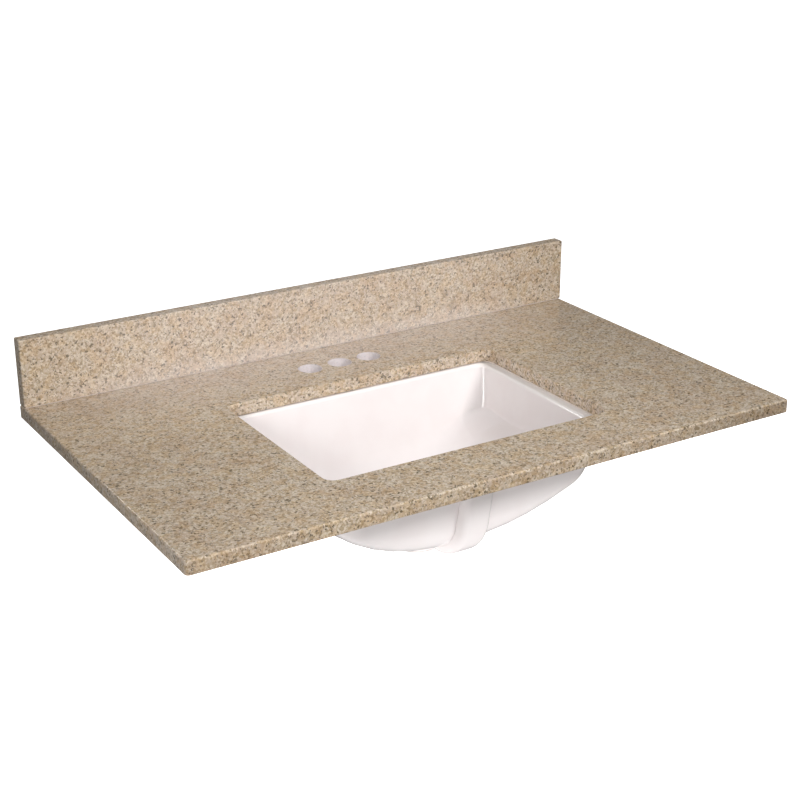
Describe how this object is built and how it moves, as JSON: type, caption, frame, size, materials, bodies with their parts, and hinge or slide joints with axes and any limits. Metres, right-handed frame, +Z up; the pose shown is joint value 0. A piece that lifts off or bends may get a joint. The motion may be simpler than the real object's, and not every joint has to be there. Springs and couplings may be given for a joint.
{
  "type": "vanity sink top",
  "caption": "Granite vanity top with a rear backsplash, a centreset row of faucet holes and a rectangular china bowl clipped under its cut-out.",
  "frame": {"origin": "on the slab's underside, midway along its width, over the middle of the cabinet's back rail, 9.5 mm in front of the wall face", "axes": "+X to the right along the top, +Y towards the wall, +Z up"},
  "size_m": [0.9398, 0.5588, 0.3098],
  "materials": {
    "granite": "polished, fine-grained beige",
    "vitreous_china": "glossy white glaze",
    "silicone": "satin, translucent grey",
    "brass": "turned",
    "zinc_plated_steel": "zinc plated"
  },
  "bodies": {
    "root": {"stone_slab": "granite", "backsplash": "granite", "backsplash_sealant": "silicone", "basin": "vitreous_china", "basin_sealant": "silicone", "anchor_front_left": "brass", "stud_front_left": "zinc_plated_steel", "anchor_front_right": "brass", "stud_front_right": "zinc_plated_steel", "anchor_rear_left": "brass", "stud_rear_left": "zinc_plated_steel", "anchor_rear_right": "brass", "stud_rear_right": "zinc_plated_steel"},
    "clip_front_left": {"clip_front_left": "zinc_plated_steel"},
    "washer_front_left": {"washer_front_left": "zinc_plated_steel"},
    "wing_nut_front_left": {"wing_nut_front_left": "zinc_plated_steel"},
    "clip_front_right": {"clip_front_right": "zinc_plated_steel"},
    "washer_front_right": {"washer_front_right": "zinc_plated_steel"},
    "wing_nut_front_right": {"wing_nut_front_right": "zinc_plated_steel"},
    "clip_rear_left": {"clip_rear_left": "zinc_plated_steel"},
    "washer_rear_left": {"washer_rear_left": "zinc_plated_steel"},
    "wing_nut_rear_left": {"wing_nut_rear_left": "zinc_plated_steel"},
    "clip_rear_right": {"clip_rear_right": "zinc_plated_steel"},
    "washer_rear_right": {"washer_rear_right": "zinc_plated_steel"},
    "wing_nut_rear_right": {"wing_nut_rear_right": "zinc_plated_steel"}
  },
  "joints": [
    {"name": "clip_front_left_swing", "type": "hinge", "parent": "root", "child": "clip_front_left", "pos_m": [-0.15, -0.4824, 0], "axis": [0, 0, 1], "range_deg": [-90, 90]},
    {"name": "washer_front_left_travel", "type": "slide", "parent": "root", "child": "washer_front_left", "axis": [0, 0, -1], "range_m": [0, 0.0064]},
    {"name": "wing_nut_front_left_turn", "type": "hinge", "parent": "washer_front_left", "child": "wing_nut_front_left", "pos_m": [-0.15, -0.4824, 0], "axis": [0, 0, -1], "range_deg": [0, 1800]},
    {"name": "clip_front_right_swing", "type": "hinge", "parent": "root", "child": "clip_front_right", "pos_m": [0.15, -0.4824, 0], "axis": [0, 0, 1], "range_deg": [-90, 90]},
    {"name": "washer_front_right_travel", "type": "slide", "parent": "root", "child": "washer_front_right", "axis": [0, 0, -1], "range_m": [0, 0.0064]},
    {"name": "wing_nut_front_right_turn", "type": "hinge", "parent": "washer_front_right", "child": "wing_nut_front_right", "pos_m": [0.15, -0.4824, 0], "axis": [0, 0, -1], "range_deg": [0, 1800]},
    {"name": "clip_rear_left_swing", "type": "hinge", "parent": "root", "child": "clip_rear_left", "pos_m": [-0.15, -0.1119, 0], "axis": [0, 0, 1], "range_deg": [-90, 90]},
    {"name": "washer_rear_left_travel", "type": "slide", "parent": "root", "child": "washer_rear_left", "axis": [0, 0, -1], "range_m": [0, 0.0064]},
    {"name": "wing_nut_rear_left_turn", "type": "hinge", "parent": "washer_rear_left", "child": "wing_nut_rear_left", "pos_m": [-0.15, -0.1119, 0], "axis": [0, 0, -1], "range_deg": [0, 1800]},
    {"name": "clip_rear_right_swing", "type": "hinge", "parent": "root", "child": "clip_rear_right", "pos_m": [0.15, -0.1119, 0], "axis": [0, 0, 1], "range_deg": [-90, 90]},
    {"name": "washer_rear_right_travel", "type": "slide", "parent": "root", "child": "washer_rear_right", "axis": [0, 0, -1], "range_m": [0, 0.0064]},
    {"name": "wing_nut_rear_right_turn", "type": "hinge", "parent": "washer_rear_right", "child": "wing_nut_rear_right", "pos_m": [0.15, -0.1119, 0], "axis": [0, 0, -1], "range_deg": [0, 1800]}
  ],
  "couplings": [
    {"joint": "washer_front_left_travel", "follows": "wing_nut_front_left_turn", "m_per_rad": 0.00020213},
    {"joint": "washer_front_right_travel", "follows": "wing_nut_front_right_turn", "m_per_rad": 0.00020213},
    {"joint": "washer_rear_left_travel", "follows": "wing_nut_rear_left_turn", "m_per_rad": 0.00020213},
    {"joint": "washer_rear_right_travel", "follows": "wing_nut_rear_right_turn", "m_per_rad": 0.00020213}
  ]
}
